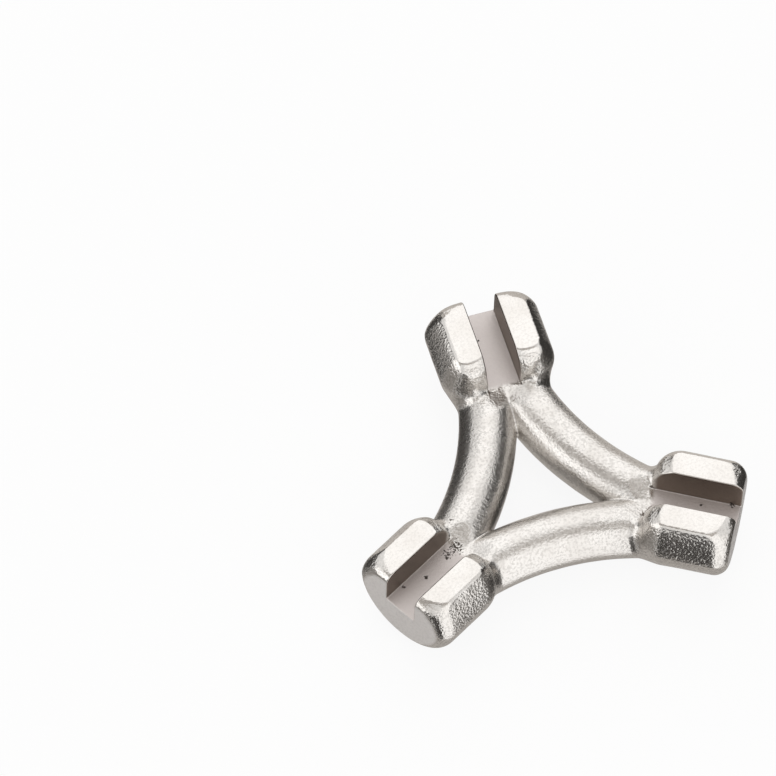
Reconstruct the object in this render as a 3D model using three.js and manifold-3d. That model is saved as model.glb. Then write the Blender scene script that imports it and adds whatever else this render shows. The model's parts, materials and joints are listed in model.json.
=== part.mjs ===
// Three-way spoke wrench: three slotted heads on the ends of three bent round arms.
// Millimetres, +Z up. The wrench lies on the round backs of its heads, with the jaws on top.
// The real tool is one steel casting. Here it is divided along its own form lines: each head's
// round back, the two jaws that stand on it, and the arm between one head and the next.

import * as THREE from 'three';
import { mergeVertices } from 'three/addons/utils/BufferGeometryUtils.js';
import Module from 'manifold-3d';

// Driving dimensions: the slots, each for one size of spoke nipple
const SMALL_SLOT_WIDTH = 3.23;
const MEDIUM_SLOT_WIDTH = 3.3;
const LARGE_SLOT_WIDTH = 3.45;
const SLOT_DEPTH = 3.5;
const SLOT_RUNOUT = 0.4; // how far a slot runs past its head's inner end, into the arms

// Driving dimensions: the heads
const HEAD_REACH = 19.1; // from the middle of the wrench to a head's outer end
const HEAD_LENGTH = 8.2;
const HEAD_WIDTH = 11.3; // also the diameter of the round back
const FLANK_HEIGHT = 0.95; // straight side between the round back and the jaw's corner
const JAW_CORNER_RADIUS = 2.1; // long outer edge of a jaw
const JAW_FOOT = 0.1; // the jaws part from the back this far above the slot's floor
const END_ROUNDING = 1.6; // edge round both ends of a head
const LEAST_FLAT = 0.1; // least that a rounding leaves of the wall beside it

// Driving dimensions: the arms
const ARM_DIAMETER = 5.5;
const ARM_LIFT = 0.4; // gap under the arms when the heads lie on their backs
const ARM_BEND_RADIUS = 27.5; // of the arm's centre line
const ARM_MIDDLE_RADIUS = 5.45; // from the middle of the wrench to the nearest point of that line

// Fineness of the round surfaces
const HEAD_SECTION_SEGMENTS = 5; // for each eighth of a turn of a head's section
const END_SEGMENTS = 6;
const ARM_SECTION_SEGMENTS = 14; // for each half turn of an arm's section
const ARM_STEPS = 20;

// Worked out from the driving dimensions
const BACK_RADIUS = HEAD_WIDTH / 2;
const HEAD_HEIGHT = BACK_RADIUS + FLANK_HEIGHT + JAW_CORNER_RADIUS;
const SLOT_FLOOR = HEAD_HEIGHT - SLOT_DEPTH;
const HEAD_INNER_END = HEAD_REACH - HEAD_LENGTH;
const HEAD_MIDDLE = HEAD_REACH - HEAD_LENGTH / 2;
const ARM_AXIS_HEIGHT = ARM_LIFT + ARM_DIAMETER / 2;
const BEND_CENTRE = ARM_MIDDLE_RADIUS + ARM_BEND_RADIUS;
const BEYOND = 2 * (HEAD_REACH + HEAD_WIDTH); // longer than the wrench, for cutting blocks

// The heads stand a third of a turn apart, and each arm points halfway between two of them.
const THIRD_TURN = (2 * Math.PI) / 3;
const SIXTH_TURN = Math.PI / 3;
const HEADS = [
  { name: 'small', slotWidth: SMALL_SLOT_WIDTH, angle: Math.PI / 2 },
  { name: 'large', slotWidth: LARGE_SLOT_WIDTH, angle: Math.PI / 2 + THIRD_TURN },
  { name: 'medium', slotWidth: MEDIUM_SLOT_WIDTH, angle: Math.PI / 2 + 2 * THIRD_TURN },
];

const wasm = await Module();
wasm.setup();

function toSolid(geometry) {
  const bare = geometry.clone();
  bare.deleteAttribute('normal');
  bare.deleteAttribute('uv');
  const merged = mergeVertices(bare);
  return new wasm.Manifold(new wasm.Mesh({
    numProp: 3,
    vertProperties: Float32Array.from(merged.attributes.position.array),
    triVerts: Uint32Array.from(merged.index.array),
  }));
}

function toGeometry(solid) {
  const mesh = solid.getMesh();
  const geometry = new THREE.BufferGeometry();
  geometry.setAttribute('position', new THREE.BufferAttribute(mesh.vertProperties, 3));
  geometry.setIndex(new THREE.BufferAttribute(mesh.triVerts, 1));
  geometry.computeVertexNormals();
  return geometry;
}

// A cutting block between two corners, turned about the wrench's middle.
function block(low, high, turn = 0) {
  const geometry = new THREE.BoxGeometry(high[0] - low[0], high[1] - low[1], high[2] - low[2]);
  geometry.translate((low[0] + high[0]) / 2, (low[1] + high[1]) / 2, (low[2] + high[2]) / 2);
  geometry.rotateZ(turn);
  return toSolid(geometry);
}

// Section of a head, seen along its length: round back below, rounded jaw corners above.
function headSection() {
  const cornerX = BACK_RADIUS - JAW_CORNER_RADIUS;
  const cornerY = HEAD_HEIGHT - JAW_CORNER_RADIUS;
  const shape = new THREE.Shape();
  shape.absarc(0, BACK_RADIUS, BACK_RADIUS, Math.PI, 1.5 * Math.PI);
  shape.absarc(0, BACK_RADIUS, BACK_RADIUS, 1.5 * Math.PI, 2 * Math.PI);
  shape.absarc(cornerX, cornerY, JAW_CORNER_RADIUS, 0, Math.PI / 2);
  shape.absarc(-cornerX, cornerY, JAW_CORNER_RADIUS, Math.PI / 2, Math.PI);
  shape.closePath();
  return shape;
}

// The head before its slot is cut, in the head's own frame: +X points out along the head.
// The rounding of its ends stays inside the jaws' own corners and leaves a flat on each side.
function headBlank() {
  const most = Math.min(JAW_CORNER_RADIUS, HEAD_LENGTH / 2) - LEAST_FLAT;
  const rounding = Math.min(END_ROUNDING, most);
  const geometry = new THREE.ExtrudeGeometry(headSection(), {
    depth: HEAD_LENGTH - 2 * rounding,
    curveSegments: HEAD_SECTION_SEGMENTS,
    bevelThickness: rounding,
    bevelSize: rounding,
    bevelOffset: -rounding,
    bevelSegments: END_SEGMENTS,
  });
  const across = new THREE.Vector3(0, 1, 0);
  const up = new THREE.Vector3(0, 0, 1);
  const out = new THREE.Vector3(1, 0, 0);
  geometry.applyMatrix4(new THREE.Matrix4().makeBasis(across, up, out));
  geometry.translate(HEAD_INNER_END + rounding, 0, 0);
  return toSolid(geometry);
}

// Centre line of an arm in the arm's own frame: +X points from the wrench's middle to the arm's
// middle, and the line is an arc that ends in the middle of the head at each end.
class ArmLine extends THREE.Curve {
  getPoint(t, target = new THREE.Vector3()) {
    const endTurn = Math.acos((BEND_CENTRE / 2 - HEAD_MIDDLE) / ARM_BEND_RADIUS) - SIXTH_TURN;
    const turn = endTurn * (2 * t - 1);
    const x = BEND_CENTRE - ARM_BEND_RADIUS * Math.cos(turn);
    const y = ARM_BEND_RADIUS * Math.sin(turn);
    return target.set(x, y, ARM_AXIS_HEIGHT);
  }
}

// A whole arm, which runs into the heads at its ends, turned about the wrench's middle.
function armTube(turn = 0) {
  const section = new THREE.Shape();
  section.absarc(0, 0, ARM_DIAMETER / 2, 0, 2 * Math.PI);
  const geometry = new THREE.ExtrudeGeometry(section, {
    extrudePath: new ArmLine(),
    steps: ARM_STEPS,
    curveSegments: ARM_SECTION_SEGMENTS,
    bevelEnabled: false,
  });
  geometry.rotateZ(turn);
  return toSolid(geometry);
}

// The slot of one head, which runs out a little way into the arms.
function slotSpace(width, turn = 0) {
  const start = HEAD_INNER_END - SLOT_RUNOUT;
  return block([start, -width / 2, SLOT_FLOOR], [BEYOND, width / 2, BEYOND], turn);
}

// The arm that shows: it stops at the inner end of the head at each end, and at the crease where
// it meets the next arm, which lies on the line through that head.
function arm(slotWidth, nextSlotWidth) {
  const upToNext = block([-BEYOND, -BEYOND, -BEYOND], [HEAD_INNER_END, 0, BEYOND], SIXTH_TURN);
  const upToLast = block([-BEYOND, 0, -BEYOND], [HEAD_INNER_END, BEYOND, BEYOND], -SIXTH_TURN);
  return armTube()
    .intersect(upToNext)
    .intersect(upToLast)
    .subtract(slotSpace(nextSlotWidth, SIXTH_TURN))
    .subtract(slotSpace(slotWidth, -SIXTH_TURN));
}

// The parts of one head, in the head's own frame: its back, in which both arms end and which
// holds the slot's floor, and the two jaws that stand on it on either side of the slot.
function headParts(slotWidth) {
  const outside = block([HEAD_INNER_END, -BEYOND, -BEYOND], [BEYOND, BEYOND, BEYOND]);
  const jawSpace = block([0, -BEYOND, SLOT_FLOOR + JAW_FOOT], [BEYOND, BEYOND, BEYOND]);
  const leftSide = block([0, 0, -BEYOND], [BEYOND, BEYOND, BEYOND]);
  const whole = headBlank()
    .add(armTube(SIXTH_TURN))
    .add(armTube(-SIXTH_TURN))
    .intersect(outside)
    .subtract(slotSpace(slotWidth));
  const jaws = whole.intersect(jawSpace);
  return {
    head: whole.subtract(jawSpace),
    left_jaw: jaws.intersect(leftSide),
    right_jaw: jaws.subtract(leftSide),
  };
}

// Satin nickel on cast steel, a little brighter on the jaws than on the arms
function nickel(color, roughness) {
  return new THREE.MeshStandardMaterial({ color, roughness, metalness: 1, flatShading: true });
}

const FINISHES = {
  head: nickel(0xc9c4be, 0.36),
  left_jaw: nickel(0xd6d2cc, 0.32),
  right_jaw: nickel(0xd6d2cc, 0.32),
  arm: nickel(0xcdc8c2, 0.4),
};

function namedMesh(name, solid, finish) {
  const mesh = new THREE.Mesh(toGeometry(solid), finish.clone());
  mesh.name = name;
  return mesh;
}

const casting = new THREE.Group();
HEADS.forEach((head, index) => {
  const next = HEADS[(index + 1) % HEADS.length];

  const headGroup = new THREE.Group();
  headGroup.rotation.z = head.angle;
  for (const [part, solid] of Object.entries(headParts(head.slotWidth))) {
    headGroup.add(namedMesh(`${head.name}_${part}`, solid, FINISHES[part]));
  }

  const armSolid = arm(head.slotWidth, next.slotWidth);
  const armMesh = namedMesh(`${head.name}_${next.name}_arm`, armSolid, FINISHES.arm);
  armMesh.rotation.z = head.angle + SIXTH_TURN;
  casting.add(headGroup, armMesh);
});

// The origin is under the middle of the wrench's box, on the surface that it lies on.
const box = new THREE.Box3().setFromObject(casting, true);
const middle = box.getCenter(new THREE.Vector3());
casting.position.set(-middle.x, -middle.y, -box.min.z);

const spokeWrench = new THREE.Group();
spokeWrench.add(casting);

export default spokeWrench;
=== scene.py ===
# %% [markdown]
# # A cast spoke wrench
#
# The object is a pocket tool that turns spoke nipples on a bicycle wheel: three slotted heads at the
# ends of three bent round arms, cast in steel as one piece and plated with satin nickel. The packed
# model gives its real sizes, in metres, as twelve plain solids that divide the casting along its own
# form lines. This lesson keeps those sizes and gives the casting its soft blends, its grain, its
# light and its camera.

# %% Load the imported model
import json
import math

import bmesh
import bpy
import numpy as np
from mathutils import Matrix, Quaternion, Vector


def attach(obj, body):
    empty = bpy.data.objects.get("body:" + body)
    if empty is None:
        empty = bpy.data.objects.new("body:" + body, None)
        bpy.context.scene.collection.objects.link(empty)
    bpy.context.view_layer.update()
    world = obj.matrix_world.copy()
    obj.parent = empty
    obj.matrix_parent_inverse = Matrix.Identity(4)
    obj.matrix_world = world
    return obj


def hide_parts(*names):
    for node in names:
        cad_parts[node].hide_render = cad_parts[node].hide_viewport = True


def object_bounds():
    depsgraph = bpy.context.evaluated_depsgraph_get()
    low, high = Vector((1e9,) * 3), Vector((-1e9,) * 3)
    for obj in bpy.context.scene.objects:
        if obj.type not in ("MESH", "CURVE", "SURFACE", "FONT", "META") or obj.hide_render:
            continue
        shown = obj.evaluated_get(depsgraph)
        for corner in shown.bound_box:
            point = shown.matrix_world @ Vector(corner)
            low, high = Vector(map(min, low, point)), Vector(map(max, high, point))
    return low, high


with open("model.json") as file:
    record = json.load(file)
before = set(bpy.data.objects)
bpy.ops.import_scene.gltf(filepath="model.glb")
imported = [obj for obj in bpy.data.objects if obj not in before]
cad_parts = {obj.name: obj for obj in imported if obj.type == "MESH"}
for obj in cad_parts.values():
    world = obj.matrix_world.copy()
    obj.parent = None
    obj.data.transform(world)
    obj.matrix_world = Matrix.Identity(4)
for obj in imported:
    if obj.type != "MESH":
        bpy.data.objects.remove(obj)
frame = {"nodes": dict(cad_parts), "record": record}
cad_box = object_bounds()
scene = bpy.context.scene
print("nodes:", ", ".join(sorted(frame["nodes"])))

# %% [markdown]
# ## Sizes read from the solids
#
# A dressed piece has to fit the solid that it stands for, so its main sizes are read from the solids
# and not typed again. Each head points along its own direction, so a solid is measured after it is
# turned back to lie along X: then X is the distance from the wrench's middle, Y is across the head
# and Z is up.

# %% Measure the heads and the arms
MM = 0.001
SIXTH_TURN = math.pi / 3
THIRD_TURN = 2 * math.pi / 3
HEADS = ("small", "large", "medium")  # anticlockwise, seen from above

mount_places = {mount["name"]: Vector(mount["pos_m"]) for mount in frame["record"]["mounts"]}
slot_floors = {head: mount_places[f"{head}_slot_floor"] for head in HEADS}
middle = sum(slot_floors.values(), Vector()) / len(HEADS)
floor_height = middle.z / MM
middle.z = 0.0
head_turn = {}
for head, place in slot_floors.items():
    head_turn[head] = math.atan2(place.y - middle.y, place.x - middle.x)


def turned_box(node, turn):
    """Lowest and highest corner of a node, in millimetres, once it is turned back to lie along X."""
    back = Matrix.Rotation(-turn, 3, "Z")
    points = [back @ (vertex.co - middle) / MM for vertex in frame["nodes"][node].data.vertices]
    low = Vector([min(point[axis] for point in points) for axis in range(3)])
    high = Vector([max(point[axis] for point in points) for axis in range(3)])
    return low, high


back_low, back_high = turned_box("small_head", head_turn["small"])
jaw_low, jaw_high = turned_box("small_left_jaw", head_turn["small"])
arm_low, arm_high = turned_box("large_medium_arm", head_turn["large"] + SIXTH_TURN)
arm_diameter = arm_high.z - arm_low.z

SIZES = {
    "Head reach": back_high.x,
    "Head inner end": back_low.x,
    "Head width": back_high.y - back_low.y,
    "Head height": jaw_high.z,
    "Slot floor": floor_height,
    "Arm diameter": arm_diameter,
    "Arm height": arm_low.z + arm_diameter / 2,
    "Arm middle": arm_low.x + arm_diameter / 2,
}
for head in HEADS:
    jaw_side = turned_box(f"{head}_left_jaw", head_turn[head])[0].y
    SIZES[f"{head.capitalize()} slot"] = 2 * jaw_side
for name, value in SIZES.items():
    print(f"{name}: {value:.3f} mm")

# %% [markdown]
# ## Sizes of the bends and blends
#
# A box doesn't tell how far an arm bends, and the solids leave out the soft blends of the casting. So
# these sizes are given, in millimetres, as read off the photograph. All sizes become named inputs of
# the node trees below.

# %% Name the bends and blends
SIZES.update({
    "Arm bend radius": 27.5,
    "Flank middle": 0.05,  # a flank follows a circle: its centre across and up, and its radius
    "Flank height": 4.8,
    "Flank radius": 5.6,
    "Jaw edge": 0.6,
    "Jaw middle": 2.9,  # across the head, where a shoulder reaches furthest in
    "Outer end corner": 1.45,
    "Outer end top corner": 1.8,
    "Outer end rounding": 1.0,
    "Inner end start": 10.5,
    "Inner end corner": 2.5,
    "Low shoulder start": 11.4,
    "Low shoulder edge": 1.3,
    "Shoulder start": 12.1,
    "Shoulder edge": 0.75,
    "Shoulder bend": 0.2,  # set-back beside the jaw's middle, for each square millimetre
    "Dish place": 10.6,
    "Dish radius": 4.2,
    "Dish edge": 0.5,
    "Neck fillet": 1.2,
    "Crease fillet": 0.2,
    "Slot fillet": 0.06,
    "Slot edge": 0.13,
    "Slot run-out": 0.3,
    "Run-out fillet": 1.0,
    "Surface wave": 0.012,
})
print(len(SIZES), "sizes in all")

# %% [markdown]
# ## Camera
#
# The photograph was taken from a long way off with a long lens, about 60 degrees above the table, and
# the wrench lies below and to the right of the picture's middle. The camera stands on the line of
# sight to the wrench's middle, and is then turned aside until that middle falls on its own pixel. So
# no lens shift is needed, and the camera also works from other sides.

# %% Place the camera
FRAME_PIXELS = 776
WRENCH_PIXEL = (536.4, 507.8)  # where the wrench's middle falls, from the top left corner
PIXELS_PER_METRE = 10600
VIEW_BEARING = math.radians(21.28)  # to the left of straight in front
VIEW_ELEVATION = math.radians(60.07)
VIEW_ROLL = math.radians(4.08)
VIEW_DISTANCE = 0.663
SENSOR_WIDTH = 36.0
NEAREST_SEEN = 0.01

toward_camera = Vector((
    -math.sin(VIEW_BEARING) * math.cos(VIEW_ELEVATION),
    -math.cos(VIEW_BEARING) * math.cos(VIEW_ELEVATION),
    math.sin(VIEW_ELEVATION),
))
facing = toward_camera.to_track_quat("Z", "Y") @ Quaternion((0, 0, 1), VIEW_ROLL)
right_shift = (FRAME_PIXELS / 2 - WRENCH_PIXEL[0]) / PIXELS_PER_METRE
up_shift = (WRENCH_PIXEL[1] - FRAME_PIXELS / 2) / PIXELS_PER_METRE
eye = middle + toward_camera * VIEW_DISTANCE
aim = middle + facing @ Vector((right_shift, up_shift, 0))

lens = bpy.data.cameras.new("photo_camera")
lens.sensor_width = SENSOR_WIDTH
lens.lens = SENSOR_WIDTH * PIXELS_PER_METRE * VIEW_DISTANCE / FRAME_PIXELS
lens.clip_start = NEAREST_SEEN
camera = bpy.data.objects.new("photo_camera", lens)
camera.rotation_mode = "QUATERNION"
camera.rotation_quaternion = toward_camera.rotation_difference(eye - aim) @ facing
camera.location = eye
scene.collection.objects.link(camera)
scene.camera = camera
print(f"lens {lens.lens:.0f} mm, {VIEW_DISTANCE} m from the wrench")

# %% [markdown]
# ## Sockets that do arithmetic
#
# Node trees for shapes and for materials are mostly arithmetic, and a page of linked Math nodes is
# hard to read. One small class wraps an output socket, so that an ordinary expression such as
# 1 - mask adds its own Math node. Every other kind of node comes from its one method, `node`.


# %% A socket class for both kinds of tree
class Socket:
    """An output socket of a node tree. Arithmetic on it adds Math nodes to that tree."""

    def __init__(self, socket):
        self.socket = socket

    @classmethod
    def node(cls, tree, kind, settings=None, inputs=None, output=0):
        """Add a node: its settings first, then the values or links of its sockets."""
        made = tree.nodes.new(kind)
        for name, value in (settings or {}).items():
            setattr(made, name, value)
        for name, value in (inputs or {}).items():
            if isinstance(value, Socket):
                tree.links.new(value.socket, made.inputs[name])
            else:
                made.inputs[name].default_value = value
        return cls(made.outputs[output]) if made.outputs else None

    def output(self, name):
        """Another output of the same node."""
        return Socket(self.socket.node.outputs[name])

    def math(self, operation, *others):
        inputs = dict(enumerate((self, *others)))
        return Socket.node(self.socket.id_data, "ShaderNodeMath", {"operation": operation}, inputs)

    def __add__(self, other):
        return self.math("ADD", other)

    __radd__ = __add__

    def __sub__(self, other):
        return self.math("SUBTRACT", other)

    def __rsub__(self, other):
        return self.math("MULTIPLY_ADD", -1.0, other)

    def __mul__(self, other):
        return self.math("MULTIPLY", other)

    __rmul__ = __mul__

    def __truediv__(self, other):
        return self.math("DIVIDE", other)

    def __pow__(self, other):
        return self.math("POWER", other)

    def __neg__(self):
        return self.math("MULTIPLY", -1.0)

    def __abs__(self):
        return self.math("ABSOLUTE")

    def most(self, other):
        return self.math("MAXIMUM", other)

    def least(self, other):
        return self.math("MINIMUM", other)

    def ramp(self, low, high):
        """0 up to `low`, 1 from `high` on, and a smooth rise between them."""
        inputs = {"Value": self, "From Min": low, "From Max": high}
        return Socket.node(
            self.socket.id_data, "ShaderNodeMapRange", {"interpolation_type": "SMOOTHSTEP"}, inputs
        )


print("sockets ready")

# %% [markdown]
# ## The casting as a rule
#
# A casting has no sharp joins: the arms flow into the heads and every edge is a little round. Such a
# form could be modelled with booleans and bevels, but bevels fail where several round surfaces meet.
# Here the whole wrench is one formula instead, its signed distance: below zero inside the metal, zero
# on its surface. Solids are joined by the smaller of two distances and cut by the larger, and the two
# functions below do that with a round edge of a chosen radius.


# %% Round joins and cuts
def length(a, b):
    return a.math("MULTIPLY_ADD", a, b * b).math("SQRT")


def cut_round(a, b, radius, turn_cosine=0.0):
    """The space that both distances call inside, with the edge between them rounded over.

    The cosine is that of the angle through which the surface turns at the edge.
    """
    outer = a.most(b) + radius
    inner = a.least(b) + radius
    turn_sine = (1 - turn_cosine * turn_cosine) ** 0.5
    past_edge = (inner - outer * turn_cosine) / turn_sine
    return outer.least(0.0) + length(outer.most(0.0), past_edge.most(0.0)) - radius


def join_round(a, b, radius):
    """The space that either distance calls inside, with a fillet in the corner between them."""
    fillet = length((radius - a).most(0.0), (radius - b).most(0.0))
    return a.least(b).most(radius) - fillet


print("joins ready")

# %% [markdown]
# ## One third stands for all
#
# The wrench is the same every third of a turn, apart from the widths of its slots, and each third is
# the same on both sides of its head. Three heads could be written out one after the other. Instead a
# point is first folded: its angle is wrapped into the third round one head. Then one head and the two
# arms beside it are enough, and the formula stays short.


# %% Fold a point into one third
def fold_in_three(tree, point):
    """Distance along the nearest head, across it and up, and the number of that head."""
    split = Socket.node(tree, "ShaderNodeSeparateXYZ", inputs={0: point})
    x, y, up = (split.output(axis) for axis in "XYZ")
    angle = y.math("ARCTAN2", x) - head_turn[HEADS[0]]
    folded = angle.math("WRAP", SIXTH_TURN, -SIXTH_TURN)
    number = ((angle - folded) / THIRD_TURN).math("ROUND").math("FLOORED_MODULO", float(len(HEADS)))
    radius = length(x, y)
    return radius * folded.math("COSINE"), radius * folded.math("SINE"), up, number


for head in HEADS:
    print(f"{head} head points to {math.degrees(head_turn[head]):.0f} degrees")

# %% [markdown]
# ## Arms
#
# An arm is a round bar, bent so that it bows in towards the wrench's middle. A tube could be swept
# along a curve, but as a rule it is shorter: the arm's centre line lies on a circle whose centre is
# outside the wrench, and the distance to a bent tube is the distance to that line less the radius.


# %% Distance to an arm
def arm_distance(along, across, up, size, side):
    """Distance to the arm on one side of the head. The arm ends inside the head."""
    centre = size["Arm middle"] + size["Arm bend radius"]
    head_middle = (size["Head reach"] + size["Head inner end"]) * 0.5
    centre_along = centre * math.cos(SIXTH_TURN)
    centre_across = centre * (side * math.sin(SIXTH_TURN))
    ring = length(along - centre_along, across - centre_across) - size["Arm bend radius"]
    tube = length(ring, up - size["Arm height"]) - size["Arm diameter"] * 0.5
    return tube.most(along - head_middle)


print(f"arms {SIZES['Arm diameter']:.1f} mm thick, bent on {SIZES['Arm bend radius']} mm")

# %% [markdown]
# ## Heads
#
# A head is a short bar with a round back, flanks that lean in towards the top, and a flat top. Its
# outer end is cut flat, with corners that grow rounder towards the top. Its inner end goes down to the
# arms in two sloping shoulders, which bend back on both sides of each jaw. A bevel has one radius all
# along an edge, while in a rule the radius can change on the way.

# %% Distance to a head
JAW_EDGE_TURN = math.radians(46)  # of the surface, from a flank to the flat top
END_BLEND_START = 2.5  # before the outer end, where a jaw's long edge begins to widen
END_BLEND_STOP = 0.8
SHOULDERS = (  # name, slope, and the turn of the surface at the upper edge
    ("Low shoulder", math.radians(62), math.radians(28)),
    ("Shoulder", math.radians(34), math.radians(34)),
)


def head_sides(across, up, size):
    """Distance to an endless bar with a head's round back and leaning flanks."""
    radius = size["Head width"] * 0.5
    back = length(across, (up - radius).least(0.0)) - radius
    flank_across = (across - size["Flank middle"]).most(0.0)
    flank_up = (up - size["Flank height"]).most(0.0)
    flank = length(flank_across, flank_up) - size["Flank radius"]
    return back.most(flank)


def head_distance(along, across, up, size):
    """Distance to a head without its slot: its sides, rounded ends, flat top and shoulders."""
    inner_end = size["Inner end start"] - along
    outer_end = along - size["Head reach"]
    ended = cut_round(head_sides(across, up, size), inner_end, size["Inner end corner"])
    near_top = up.ramp(size["Flank height"], size["Head height"])
    corner = size["Outer end corner"]
    corner = corner + (size["Outer end top corner"] - corner) * near_top
    ended = cut_round(ended, outer_end, corner)
    at_end = along.ramp(size["Head reach"] - END_BLEND_START, size["Head reach"] - END_BLEND_STOP)
    edge = size["Jaw edge"] + (size["Outer end rounding"] - size["Jaw edge"]) * at_end
    edge_cosine = (1 - at_end) * math.cos(JAW_EDGE_TURN)
    bar = cut_round(ended, up - size["Head height"], edge, edge_cosine)
    off_middle = across - size["Jaw middle"]
    set_back = off_middle * off_middle * size["Shoulder bend"]
    for name, slope, turn in SHOULDERS:
        level = (size[f"{name} start"] + set_back - along) * math.sin(slope)
        shoulder = level + (up - size["Head height"]) * math.cos(slope)
        bar = cut_round(bar, shoulder, size[f"{name} edge"], math.cos(turn))
    return bar


head_length = SIZES["Head reach"] - SIZES["Head inner end"]
print(f"heads {head_length:.1f} mm long and {SIZES['Head height']:.1f} mm high")

# %% [markdown]
# ## Slots
#
# A slot grips the flats of a spoke nipple, so its walls are straight and its corners crisp. At its
# inner end it runs out on the arms: its floor rises at a slope, and a shallow round dish takes the
# tops of the arms down to it. A box cut with a boolean would leave a step there.

# %% Distance to a slot and to its dish
RUN_OUT_SLOPE = math.radians(38)


def dish_distance(along, across, up, size):
    """Distance to the ball whose lowest point touches the slot's floor at the inner end."""
    height = up - size["Slot floor"] - size["Dish radius"]
    return length(length(along - size["Dish place"], across), height) - size["Dish radius"]


def slot_distance(along, across, up, number, size):
    """Distance to the slot of the nearest head: open at the top and at the outer end."""
    first, *others = [size[f"{head.capitalize()} slot"] for head in HEADS]
    width = first
    for other_number, other in enumerate(others, start=1):
        chosen = number.math("COMPARE", float(other_number), 0.5)  # 1 on that head, else 0
        width = width + (other - first) * chosen
    groove = cut_round(across - width * 0.5, size["Slot floor"] - up, size["Slot fillet"])
    start = size["Head inner end"] - size["Slot run-out"]
    fall = math.sin(RUN_OUT_SLOPE)
    rise = math.cos(RUN_OUT_SLOPE)
    run_out = (start - along) * fall - (up - size["Slot floor"]) * rise
    return cut_round(groove, run_out, size["Run-out fillet"], rise)


slot_depth = SIZES["Head height"] - SIZES["Slot floor"]
print(f"slots {slot_depth:.1f} mm deep")

# %% [markdown]
# ## The rule for the whole wrench
#
# Now the forms come together in the order in which their blends lie on the real casting. The arms
# meet in a crease, the dish is taken out of them, the head joins them with a fillet at its neck, and
# the slot is cut last, so that its edges stay crisp. The fillet is narrow under the arms and beside
# the slot. A slight wave keeps the skin from looking machined. The rule becomes a node group with an
# input for each size, so that one tree can ask it at many points.

# %% Distance rule as a node group
LEAST_FILLET = 0.2  # share of the neck's fillet that is left where it is narrowest
FILLET_HEIGHTS = (0.3, 2.5)  # between which it widens upwards
FILLET_SIDES = (1.5, 3.0)  # distances from the slot's middle, between which it widens outwards
WAVE_LENGTH = 1.6  # of the casting's slight unevenness, in millimetres
WAVE_CLEAR = 0.8  # the wave fades this near to a slot


def new_tree(name, inputs, outputs):
    """A Geometry Nodes tree with named sockets, given as pairs of a name and a socket type."""
    tree = bpy.data.node_groups.new(name, "GeometryNodeTree")
    for label, kind in inputs:
        tree.interface.new_socket(label, in_out="INPUT", socket_type=f"NodeSocket{kind}")
    for label, kind in outputs:
        tree.interface.new_socket(label, in_out="OUTPUT", socket_type=f"NodeSocket{kind}")
    return tree


def inputs_of(tree):
    """The tree's own inputs by name."""
    entry = tree.nodes.new("NodeGroupInput")
    return {socket.name: Socket(socket) for socket in entry.outputs if socket.name}


def widened(share):
    """What is left of the neck's fillet, from its narrowest at 0 to the whole of it at 1."""
    return LEAST_FILLET + (1 - LEAST_FILLET) * share


def wrench_distance_group():
    floats = [(name, "Float") for name in SIZES]
    outputs = [("Distance", "Float"), ("Slot", "Float"), ("Along", "Float"), ("Up", "Float")]
    tree = new_tree("wrench_distance", [("Point", "Vector")] + floats, outputs)
    size = inputs_of(tree)
    along, across, up, number = fold_in_three(tree, size["Point"])
    beside = abs(across)
    near_arm = arm_distance(along, beside, up, size, 1)
    far_arm = arm_distance(along, beside, up, size, -1)
    arms = join_round(near_arm, far_arm, size["Crease fillet"])
    arms = cut_round(arms, -dish_distance(along, beside, up, size), size["Dish edge"])
    fillet = size["Neck fillet"] * widened(up.ramp(*FILLET_HEIGHTS)) * widened(beside.ramp(*FILLET_SIDES))
    body = join_round(arms, head_distance(along, beside, up, size), fillet)
    slot = slot_distance(along, beside, up, number, size)
    noise_inputs = {"Vector": size["Point"], "Scale": 1.0 / WAVE_LENGTH, "Detail": 1.0}
    swell = Socket.node(tree, "ShaderNodeTexNoise", {"normalize": False}, noise_inputs)
    wave = swell * size["Surface wave"] * slot.ramp(0.0, WAVE_CLEAR)
    distance = cut_round(body, -slot, size["Slot edge"]) + wave
    results = {"Distance": distance, "Slot": slot, "Along": along, "Up": up}
    Socket.node(tree, "NodeGroupOutput", inputs=results)
    return tree


distance_group = wrench_distance_group()
print("distance rule:", len(distance_group.nodes), "nodes")

# %% [markdown]
# ## Asking the rule
#
# The casting's tree asks the rule in several places, so these steps get a function each. The rule also
# gives exact normals: the distance at four points close round a vertex tells in which direction it
# grows fastest. Normals averaged from the faces would show the grid in the reflections.

# %% Steps of the casting's tree
NORMAL_STEP = 0.03  # in millimetres
TETRAHEDRON = ((1, 1, 1), (1, -1, -1), (-1, 1, -1), (-1, -1, 1))


def rule_at(tree, size, point):
    """The distance rule at a point of the tree's geometry."""
    inputs = {name: size[name] for name in SIZES}
    inputs["Point"] = point
    return Socket.node(tree, "GeometryNodeGroup", {"node_tree": distance_group}, inputs, "Distance")


def vector_math(tree, operation, *values):
    inputs = dict(enumerate(values))
    if operation == "SCALE":
        inputs = {0: values[0], "Scale": values[1]}
    return Socket.node(tree, "ShaderNodeVectorMath", {"operation": operation}, inputs)


def stored(tree, geometry, name, kind, value):
    """The geometry with a value kept on its points."""
    settings = {"data_type": kind, "domain": "POINT"}
    inputs = {"Geometry": geometry, "Name": name, "Value": value}
    return Socket.node(tree, "GeometryNodeStoreNamedAttribute", settings, inputs)


def rule_normal(tree, size, point):
    """Direction in which the distance grows fastest."""
    total = None
    for corner in TETRAHEDRON:
        step = [NORMAL_STEP * part for part in corner]
        nearby = vector_math(tree, "ADD", point, step)
        pull = vector_math(tree, "SCALE", corner, rule_at(tree, size, nearby))
        total = pull if total is None else vector_math(tree, "ADD", total, pull)
    return vector_math(tree, "NORMALIZE", total)


print("normals from", len(TETRAHEDRON), "points,", NORMAL_STEP, "mm to each side")
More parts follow.
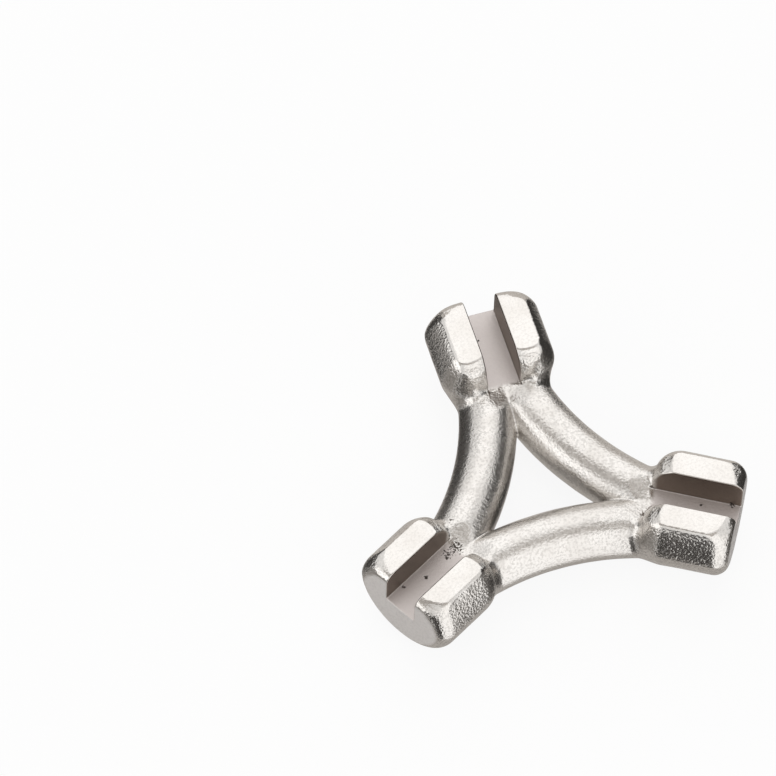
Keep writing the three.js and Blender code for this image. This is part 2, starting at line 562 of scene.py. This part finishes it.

# %% [markdown]
# ## Which face is which
#
# The finish of the real wrench isn't the same all over: the slots and the flat outer ends are smoother
# than the rest, and the flat tops of the jaws are brighter. A material could guess this from heights
# and directions, but the rule knows it. So the casting carries masks for these faces, 1 on the face
# and 0 away from it, with a soft edge between.

# %% Masks for the finish
# the wall mask also places the painted shade that the material gives the slot walls
MASKS = ("floor_face", "wall_face", "end_face", "jaw_face", "head_skin")
SLOT_STARTS = (10.5, 11.1)  # along the head: nearer the middle, a slot has the arms' finish
SLOT_SKIN = (0.02, 0.1)  # distances from the slot's space
FLOOR_SKIN = (0.01, 0.06)  # heights above the slot's floor
END_SKIN = (0.01, 0.1)  # depths behind the outer end
JAW_SKIN = (0.2, 0.6)  # depths below the jaws' tops
HEAD_STARTS = (9.5, 11.5)  # along the head: its skin is a little coarser and glossier than the arms'


def face_masks(tree, size, point):
    rule = rule_at(tree, size, point)
    along = rule.output("Along")
    up = rule.output("Up")
    slot_face = (1 - rule.output("Slot").ramp(*SLOT_SKIN)) * along.ramp(*SLOT_STARTS)
    floor_face = slot_face * (1 - (up - size["Slot floor"]).ramp(*FLOOR_SKIN))
    wall_face = slot_face - floor_face
    end_face = (1 - (size["Head reach"] - along).ramp(*END_SKIN)) * (1 - slot_face)
    jaw_face = 1 - (size["Head height"] - up).ramp(*JAW_SKIN)
    head_skin = along.ramp(*HEAD_STARTS)
    return dict(zip(MASKS, (floor_face, wall_face, end_face, jaw_face, head_skin)))


print("masks:", ", ".join(MASKS))

# %% [markdown]
# ## From the rule to a mesh
#
# A Volume Cube samples the rule on a fine grid of cells, and Volume to Mesh finds the surface where
# it is zero. The mesh only comes close, so each point is then moved along its normal by the distance
# that the rule still gives there, twice. The tree works in millimetres, because a volume of very small
# cells counts as empty, and turns the result into metres at the end.

# %% Casting as a Geometry Nodes tree
CELL = 0.09  # of the grid, in millimetres
SETTLING_ROUNDS = 2


def grid_mesh(tree, size, point):
    """The surface of the rule, as close as the grid gives it."""
    cells = {"Density": -rule_at(tree, size, point), "Background": -1.0}
    cells["Min"] = size["Lowest corner"]
    cells["Max"] = size["Highest corner"]
    span = vector_math(tree, "SUBTRACT", size["Highest corner"], size["Lowest corner"])
    spans = Socket.node(tree, "ShaderNodeSeparateXYZ", inputs={0: span})
    for axis in "XYZ":
        cells[f"Resolution {axis}"] = spans.output(axis) / CELL
    volume = Socket.node(tree, "GeometryNodeVolumeCube", inputs=cells)
    return Socket.node(tree, "GeometryNodeVolumeToMesh", inputs={"Volume": volume, "Threshold": 0.0})


def casting_tree():
    inputs = [(name, "Float") for name in SIZES]
    inputs += [("Lowest corner", "Vector"), ("Highest corner", "Vector"), ("Finish", "Material")]
    tree = new_tree("cast_wrench", inputs, [("Geometry", "Geometry")])
    size = inputs_of(tree)
    point = Socket.node(tree, "GeometryNodeInputPosition")
    geometry = grid_mesh(tree, size, point)
    for _ in range(SETTLING_ROUNDS):
        normal = Socket.node(tree, "GeometryNodeInputNormal")
        offset = vector_math(tree, "SCALE", normal, -rule_at(tree, size, point))
        moved = {"Geometry": geometry, "Offset": offset}
        geometry = Socket.node(tree, "GeometryNodeSetPosition", inputs=moved)

    normal = rule_normal(tree, size, point)
    geometry = stored(tree, geometry, "cast_normal", "FLOAT_VECTOR", normal)
    for name, value in face_masks(tree, size, point).items():
        geometry = stored(tree, geometry, name, "FLOAT", value)

    placed = {"Geometry": geometry, "Translation": middle, "Scale": (MM, MM, MM)}
    geometry = Socket.node(tree, "GeometryNodeTransform", inputs=placed)
    geometry = Socket.node(tree, "GeometryNodeSetShadeSmooth", inputs={"Geometry": geometry})
    geometry = Socket.node(tree, "GeometryNodeRealizeInstances", inputs={"Geometry": geometry})
    dressed = {"Geometry": geometry, "Material": size["Finish"]}
    geometry = Socket.node(tree, "GeometryNodeSetMaterial", inputs=dressed)
    Socket.node(tree, "NodeGroupOutput", inputs={"Geometry": geometry})
    return tree


wrench_tree = casting_tree()
print("casting tree:", len(wrench_tree.nodes), "nodes")

# %% [markdown]
# ## Casting pits
#
# Where gas was caught under the skin, the real casting has small pits, dark with the shade inside them:
# some in clusters, mostly where the large slot runs out, and some alone in the slots. Round dots would
# look printed. Here a blotchy noise makes the shapes, and a pit shows only where a cluster lifts the
# noise over a fixed level, or close to the place of a single pit. The material sinks each pit a little
# and paints it near-black, which is painted shade.

# %% Pits in clusters and alone
NOISE_ROUGHNESS = 0.55
PIT_SIZE = 0.2  # of the blotches, in millimetres
PIT_CLUSTERS = (  # head, place along and across it, height and reach, in millimetres
    ("large", 10.7, -0.7, 5.2, 1.2),
    ("large", 11.7, -0.8, 5.2, 0.9),
    ("large", 9.0, -2.6, 5.2, 1.1),
    ("medium", 18.2, 1.5, 5.3, 0.6),
)
CLUSTER_CORE = 0.3  # share of its reach in which a cluster is thickest
CLUSTER_RIM = (0.02, 0.1)
CLUSTER_LIFT = 0.24
PIT_LEVEL = (0.74, 0.8)  # of the lifted noise, where a pit begins and where it is full
SINGLE_PITS = (
    ("large", 12.1, -0.56, 5.2, 0.16),
    ("large", 14.9, -0.56, 5.2, 0.2),
    ("large", 17.1, -1.36, 5.2, 0.22),
    ("medium", 15.4, 0.9, 5.2, 0.12),
    ("small", 16.2, 0.8, 5.2, 0.1),
)
SINGLE_CORE = 0.5
NOISE_MIDDLE = 0.5
RAGGEDNESS = 0.5  # of a single pit's rim


def noise(tree, point, size, detail):
    inputs = {"Vector": point, "Scale": 1.0 / size, "Detail": detail, "Roughness": NOISE_ROUGHNESS}
    return Socket.node(tree, "ShaderNodeTexNoise", inputs=inputs)


def distance_from(tree, point, head, along, across, height):
    """Distance from a place on a head, which is given along the head, across it and up."""
    turn = Matrix.Rotation(head_turn[head], 3, "Z")
    place = turn @ Vector((along, across, height)) + middle / MM
    inputs = {0: point, 1: place}
    return Socket.node(tree, "ShaderNodeVectorMath", {"operation": "DISTANCE"}, inputs, "Value")


def pits(tree, point):
    """1 in a pit and 0 beside it."""
    blotch = noise(tree, point, PIT_SIZE, detail=2.0)
    zone = None
    for *place, reach in PIT_CLUSTERS:
        cluster = 1 - distance_from(tree, point, *place).ramp(reach * CLUSTER_CORE, reach)
        zone = cluster if zone is None else zone.most(cluster)
    total = (blotch + zone * CLUSTER_LIFT).ramp(*PIT_LEVEL) * zone.ramp(*CLUSTER_RIM)
    for *place, reach in SINGLE_PITS:
        ragged = distance_from(tree, point, *place) + (blotch - NOISE_MIDDLE) * RAGGEDNESS
        total = total.most(1 - ragged.ramp(reach * SINGLE_CORE, reach))
    return total


print(len(PIT_CLUSTERS), "clusters of pits and", len(SINGLE_PITS), "single pits")

# %% [markdown]
# ## Satin nickel
#
# The real casting is blasted and then plated, so its skin is bright metal with a grain that sparkles
# and is cloudy over wider areas. The colour is painted a little darker in the hollows of the grain, as
# painted shade. The slots and the flat ends are smoother, and look matt and even; the slot walls and the
# pits are painted dark, as painted shade. A photograph could be projected on it, but a grain made of
# noise on the object's own coordinates has no stretching and works from all sides. The masks that the
# casting carries say where the tone, the painted shade, the grain and the gloss change.

# %% Tones and grain of the nickel
NICKEL = frame["record"]["materials"][0]["base_color"]
DULLING = (0.9, 0.885, 0.87)  # of the nickel's colour in a cloud
CLOUD_SIZE = 3.2  # in millimetres, as all sizes here
CLOUD_LEVEL = (0.3, 0.7)
CLOUD_SHARE = 0.6
GRAIN_SIZE = 0.24
GRAIN_DEPTH = 0.06
ARM_GRAIN = 0.6  # share of the heads' grain that the arms have
CUT_SMOOTHNESS = 0.85  # share of the grain that slots and ends lack
END_GRAIN = 0.25  # share of it that the ends get back
JAW_SMOOTHNESS = 0.65  # share of it that the jaws' tops lack
# painted shade: where the grain is low, its hollows mix towards a dark tone
HOLLOW_SHADE_LEVEL = (0.3, 0.6)
HOLLOW_SHADE_SHARE = 0.35
HOLLOW_SHADE_TONE = (0.3, 0.28, 0.26, 1.0)
TONES_AND_PAINTED_SHADE = {
    "floor_face": (0.65, 0.595, 0.57, 1.0),
    # the slot walls' dark brown is painted shade inside the narrow slots
    "wall_face": (0.245, 0.198, 0.165, 1.0),
    "end_face": (0.74, 0.71, 0.69, 1.0),
    # near-black: painted shade inside the pits
    "pit": (0.09, 0.075, 0.065, 1.0),
}
ROUGHNESS = 0.26
ROUGHNESS_CHANGES = {"head_skin": -0.04, "cloud": 0.03, "jaw_face": -0.06, "smooth": 0.2, "pit": 0.2}
METAL_CHANGES = {"floor_face": -0.45, "end_face": -0.6}
print("nickel colour:", NICKEL)


# %% Nickel material
def mix_colour(tree, factor, first, second):
    """A mix of two colours, by the numbers of the Mix node's colour sockets."""
    inputs = {0: factor, 6: first, 7: second}
    return Socket.node(tree, "ShaderNodeMix", {"data_type": "RGBA"}, inputs, 2)


def attribute(tree, name):
    return Socket.node(tree, "ShaderNodeAttribute", {"attribute_name": name}, output="Fac")


def changed(value, mask, changes):
    """A value that each of the named masks raises or lowers."""
    for name, change in changes.items():
        value = value + mask[name] * change
    return value


def satin_nickel():
    material = bpy.data.materials.new("satin_nickel")
    material.use_nodes = True
    tree = material.node_tree
    tree.nodes.clear()
    place = Socket.node(tree, "ShaderNodeTexCoord", output="Object")
    point = vector_math(tree, "SCALE", place, 1.0 / MM)
    mask = {name: attribute(tree, name) for name in MASKS}
    mask["smooth"] = mask["floor_face"] + mask["wall_face"] + mask["end_face"]
    mask["pit"] = pits(tree, point)
    mask["cloud"] = noise(tree, point, CLOUD_SIZE, detail=2.0).ramp(*CLOUD_LEVEL)

    grain = noise(tree, point, GRAIN_SIZE, detail=1.0)
    grained = 1 - mask["smooth"] * CUT_SMOOTHNESS + mask["end_face"] * END_GRAIN
    grained = grained * (1 - mask["jaw_face"] * JAW_SMOOTHNESS)
    height = grain * grained * (ARM_GRAIN + mask["head_skin"] * (1 - ARM_GRAIN)) - mask["pit"]
    bump_inputs = {"Strength": 1.0, "Distance": GRAIN_DEPTH * MM, "Height": height}
    bump = Socket.node(tree, "ShaderNodeBump", inputs=bump_inputs)

    dull = [part * dulling for part, dulling in zip(NICKEL, DULLING)]
    colour = mix_colour(tree, mask["cloud"] * CLOUD_SHARE, (*NICKEL, 1.0), (*dull, 1.0))
    # finish tones on the slot floor and the ends; painted shade on the slot walls and in the pits
    for name, tone in TONES_AND_PAINTED_SHADE.items():
        colour = mix_colour(tree, mask[name], colour, tone)
    # painted shade in the grain's hollows
    hollow_shade = (1 - grain.ramp(*HOLLOW_SHADE_LEVEL)) * grained
    colour = mix_colour(tree, hollow_shade * HOLLOW_SHADE_SHARE, colour, HOLLOW_SHADE_TONE)

    shader_inputs = {
        "Base Color": colour,
        "Roughness": changed(ROUGHNESS, mask, ROUGHNESS_CHANGES),
        "Metallic": changed(1.0, mask, METAL_CHANGES),
        "Normal": bump,
    }
    shader = Socket.node(tree, "ShaderNodeBsdfPrincipled", inputs=shader_inputs)
    Socket.node(tree, "ShaderNodeOutputMaterial", inputs={"Surface": shader})
    return material


nickel = satin_nickel()
print("nickel:", len(nickel.node_tree.nodes), "nodes")

# %% [markdown]
# ## Pour the casting
#
# The tree runs as a modifier on an empty mesh. Its sizes go in by the sockets' identifiers before it
# is first evaluated, and the result is taken out as a plain mesh, so no modifier is left.

# %% Evaluate the casting
MARGIN = 0.5  # of the grid round the wrench, in millimetres


def poured(tree):
    carrier = bpy.data.objects.new("casting", bpy.data.meshes.new("casting"))
    scene.collection.objects.link(carrier)
    modifier = carrier.modifiers.new("casting", "NODES")
    modifier.node_group = tree
    margin = Vector((MARGIN, MARGIN, MARGIN))
    low = (cad_box[0] - middle) / MM - margin
    high = (cad_box[1] - middle) / MM + margin
    values = {**SIZES, "Lowest corner": low, "Highest corner": high, "Finish": nickel}
    for item in tree.interface.items_tree:
        if item.in_out == "INPUT":
            modifier[item.identifier] = values[item.name]
    evaluated = carrier.evaluated_get(bpy.context.evaluated_depsgraph_get())
    mesh = bpy.data.meshes.new_from_object(evaluated)
    bpy.data.objects.remove(carrier)
    return mesh


casting = poured(wrench_tree)
print("casting:", len(casting.vertices), "points,", len(casting.polygons), "faces")

# %% [markdown]
# ## Divide it into its pieces
#
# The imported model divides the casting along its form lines, and the dressed pieces follow the same
# planes: a neck where the arms enter a head, the crease between two arms, the jaws' foot, and the
# slot's middle between the jaws. Each piece is cut from a copy of the casting and closed with flat
# faces, which a layer marks for the next step. A boolean could do the same, but for flat cuts a
# bisect is enough.

# %% Cut a copy of the casting
CUT_TOLERANCE = 1e-9


def cut_away(shape, *planes):
    """A copy of the shape without what lies beyond each plane, closed with a flat face there."""
    kept = shape.copy()
    cut_face = kept.faces.layers.int["cut_face"]
    for point, outward in planes:
        result = bmesh.ops.bisect_plane(
            kept,
            geom=kept.verts[:] + kept.edges[:] + kept.faces[:],
            plane_co=point,
            plane_no=outward,
            dist=CUT_TOLERANCE,
            clear_outer=True,
        )
        rim = [edge for edge in result["geom_cut"] if isinstance(edge, bmesh.types.BMEdge)]
        filled = bmesh.ops.triangle_fill(kept, edges=rim, use_beauty=True, normal=outward)
        for face in filled["geom"]:
            if isinstance(face, bmesh.types.BMFace):
                face[cut_face] = 1
    return kept


whole = bmesh.new()
whole.from_mesh(casting)
whole.faces.layers.int.new("cut_face")
print("ready to cut", len(whole.faces), "faces")

# %% [markdown]
# ## One skin over all pieces
#
# The real wrench has no seams. Normals worked out piece by piece would turn at every cut and show a
# line in the reflections. So the exact normals that the casting carries are set on every corner of
# the outer skin, and only the flat cut faces get their own.


# %% Finish a piece
def skin_normals(mesh):
    """A normal for each corner: the casting's own on the skin, the face's own where it was cut."""
    corner_point = np.empty(len(mesh.loops), int)
    mesh.loops.foreach_get("vertex_index", corner_point)
    skin = np.empty(3 * len(mesh.vertices))
    mesh.attributes["cast_normal"].data.foreach_get("vector", skin)
    face_normal = np.empty(3 * len(mesh.polygons))
    mesh.polygons.foreach_get("normal", face_normal)
    is_cut = np.empty(len(mesh.polygons), int)
    mesh.attributes["cut_face"].data.foreach_get("value", is_cut)
    normals = skin.reshape(-1, 3)[corner_point]
    corner_is_cut = np.repeat(is_cut, 3) > 0
    normals[corner_is_cut] = np.repeat(face_normal.reshape(-1, 3), 3, axis=0)[corner_is_cut]
    return normals


def finished_piece(name, shape):
    """A piece at the origin, made of triangles, that stands for its node."""
    mesh = bpy.data.meshes.new(name)
    bmesh.ops.triangulate(shape, faces=shape.faces[:])
    for face in shape.faces:
        face.smooth = True
    shape.to_mesh(mesh)
    shape.free()
    mesh.materials.append(nickel)
    mesh.normals_split_custom_set(skin_normals(mesh))
    for spent in ("cast_normal", "cut_face"):
        mesh.attributes.remove(mesh.attributes[spent])
    piece = bpy.data.objects.new(f"cast_{name}", mesh)
    scene.collection.objects.link(piece)
    print(f"{piece.name}: {len(mesh.polygons)} triangles")
    return piece


print("finish ready for", len(frame["nodes"]), "pieces")


# %% Cut the twelve pieces
def head_planes(head):
    """A point in the neck of a head, and the directions along and across the head."""
    turn = head_turn[head]
    along = Vector((math.cos(turn), math.sin(turn), 0.0))
    across = Vector((-math.sin(turn), math.cos(turn), 0.0))
    neck_point = middle + along * SIZES["Head inner end"] * MM
    return neck_point, along, across


jaw_foot = Vector((0.0, 0.0, jaw_low.z * MM))
upward = Vector((0.0, 0.0, 1.0))
pieces = {}
for number, head in enumerate(HEADS):
    neck_point, along, across = head_planes(head)
    outside = cut_away(whole, (neck_point, -along))
    jaws = cut_away(outside, (jaw_foot, -upward))
    shapes = {
        "head": cut_away(outside, (jaw_foot, upward)),
        "left_jaw": cut_away(jaws, (middle, -across)),
        "right_jaw": cut_away(jaws, (middle, across)),
    }
    for part, shape in shapes.items():
        pieces[f"{head}_{part}"] = finished_piece(f"{head}_{part}", shape)
    outside.free()
    jaws.free()

    following = HEADS[(number + 1) % len(HEADS)]
    next_neck, next_along, next_across = head_planes(following)
    arm_planes = ((neck_point, along), (middle, -across), (next_neck, next_along), (middle, next_across))
    arm_name = f"{head}_{following}_arm"
    pieces[arm_name] = finished_piece(arm_name, cut_away(whole, *arm_planes))
whole.free()

# %% [markdown]
# ## Ride and replace
#
# The wrench has no moving part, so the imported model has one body. Every piece rides on it and stands
# for the solid of the same name, which is hidden.

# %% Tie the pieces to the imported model
for node, piece in pieces.items():
    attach(piece, "root")
    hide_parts(node)
print(len(pieces), "pieces stand for", len(frame["nodes"]), "nodes")

# %% [markdown]
# ## White table
#
# The ground in the photograph is white, with hardly a shadow. To light paper until it looks that white
# would be too much light for the metal. Instead the floor simply is white where it is seen, and only a
# small share of it is paper that takes the wrench's shadow. A white floor mirrored in the metal would
# lose the wrench's lower edges, so reflections pass it, as if the wrench lay on a sheet of glass. The
# room round it is white too, and its fill light is gentler than its look.

# %% Floor and room
FLOOR_SIZE = 4.0
FLOOR_GAP = 0.00003
FLOOR_WHITENESS = 0.9  # share of plain white in what the camera sees of the floor
FILL_LIGHT = 0.6
WHITE = (1.0, 1.0, 1.0, 1.0)
PAPER = (0.92, 0.92, 0.92, 1.0)


def seen(tree):
    """1 where the camera, a reflection or a clear material looks, 0 where light is gathered."""
    path = Socket.node(tree, "ShaderNodeLightPath", output="Is Camera Ray")
    return path.most(path.output("Is Glossy Ray")).most(path.output("Is Transmission Ray"))


def white_floor():
    """A white sheet that keeps a part of the wrench's shadow."""
    material = bpy.data.materials.new("white_floor")
    material.use_nodes = True
    tree = material.node_tree
    tree.nodes.clear()
    paper = Socket.node(tree, "ShaderNodeBsdfDiffuse", inputs={"Color": PAPER})
    white = Socket.node(tree, "ShaderNodeEmission", inputs={"Color": WHITE})
    share = seen(tree) * FLOOR_WHITENESS
    sheet = Socket.node(tree, "ShaderNodeMixShader", inputs={0: share, 1: paper, 2: white})
    Socket.node(tree, "ShaderNodeOutputMaterial", inputs={"Surface": sheet})
    return material


def white_room():
    """White where the camera or a reflection sees it, and a gentler fill light everywhere else."""
    world = bpy.data.worlds.new("white_room")
    world.use_nodes = True
    tree = world.node_tree
    tree.nodes.clear()
    strength = FILL_LIGHT + seen(tree) * (1 - FILL_LIGHT)
    light = Socket.node(tree, "ShaderNodeBackground", inputs={"Color": WHITE, "Strength": strength})
    Socket.node(tree, "ShaderNodeOutputWorld", inputs={"Surface": light})
    return world


def stage_mesh(name, points, faces, material):
    mesh = bpy.data.meshes.new(name)
    mesh.from_pydata(points, [], faces)
    mesh.materials.append(material)
    made = bpy.data.objects.new(name, mesh)
    scene.collection.objects.link(made)
    return made


half = FLOOR_SIZE / 2
corners = [(x, y, -FLOOR_GAP) for x, y in ((-half, -half), (half, -half), (half, half), (-half, half))]
floor = stage_mesh("white_floor", corners, [(0, 1, 2, 3)], white_floor())
floor.visible_glossy = False
scene.world = white_room()
scene.view_settings.view_transform = "Standard"
print("floor and room ready")

# %% [markdown]
# ## Panels round the metal
#
# Metal shows what stands round it, so the light is planned from the reflections in the photograph.
# Lamps would make a few small highlights. A photographer puts panels round shiny metal instead, and
# here they are parts of one dome, each between two bearings and two heights. Softboxes behind and
# above make the flat tops of the jaws white, one in front and one at the left light the sides of the
# arms, grey cards give the tones between, and nearly black cards draw a line along the edges against
# the white ground. The camera doesn't see them.

# %% Panels of the dome
DOME_RADIUS = 0.3
PANEL_STEP = 5.0  # in degrees
CARD_TINT = (1.0, 0.95, 0.9, 1.0)
PANELS = (  # name, bearings and heights in degrees, and brightness
    ("back_softbox", (-15, 60), (18, 54), 1.42),
    ("top_softbox", (-60, 60), (54, 90), 1.42),
    ("left_softbox", (-120, -60), (6, 42), 1.6),
    ("front_softbox", (131, 195), (-50, 60), 1.42),
    ("back_low_card", (-15, 46), (-50, 18), 0.66),
    ("under_card", (-180, 180), (-90, -50), 0.5),
    ("front_high_card", (105, 195), (60, 90), 0.6),
    ("left_high_card", (-120, -60), (42, 90), 0.5),
    ("left_low_card", (-120, -60), (-50, 6), 0.3),
    ("camera_card", (-165, -120), (70, 90), 0.35),
    ("front_left_card", (-163, -125), (-50, 27), 0.07),
    ("back_left_card", (-57, -15), (-50, 18), 0.06),
    ("right_card", (60, 105), (-50, 40), 0.05),
    ("right_front_card", (105, 131), (-50, 18), 0.16),
    ("right_low_card", (44, 60), (-50, 8), 0.05),
)


def direction(bearing, height):
    """Unit vector at a bearing, clockwise from straight behind the wrench, and a height, in degrees."""
    level = math.cos(math.radians(height))
    turn = math.radians(bearing)
    return Vector((math.sin(turn) * level, math.cos(turn) * level, math.sin(math.radians(height))))


def panel_steps(low, high):
    count = max(2, round((high - low) / PANEL_STEP) + 1)
    return [low + (high - low) * number / (count - 1) for number in range(count)]


def panel_finish(name, brightness):
    """Even light of the brightness that a mirror would show: white for softboxes, warm for cards."""
    colour = WHITE if brightness > 1 else CARD_TINT
    material = bpy.data.materials.new(name)
    material.use_nodes = True
    tree = material.node_tree
    tree.nodes.clear()
    glow = Socket.node(tree, "ShaderNodeEmission", inputs={"Color": colour, "Strength": brightness})
    Socket.node(tree, "ShaderNodeOutputMaterial", inputs={"Surface": glow})
    return material


def panel(name, bearings, heights, brightness):
    """Part of a dome round the wrench, between two bearings and two heights."""
    bearings = panel_steps(*bearings)
    heights = panel_steps(*heights)
    points = []
    for height in heights:
        points += [middle + direction(bearing, height) * DOME_RADIUS for bearing in bearings]
    across = len(bearings)
    faces = []
    for row in range(len(heights) - 1):
        for column in range(across - 1):
            start = row * across + column
            faces.append((start, start + 1, start + across + 1, start + across))
    made = stage_mesh(name, points, faces, panel_finish(name, brightness))
    made.visible_camera = False


for name, bearings, heights, brightness in PANELS:
    panel(name, bearings, heights, brightness)
print(len(PANELS), "panels,", DOME_RADIUS, "m from the wrench's middle")
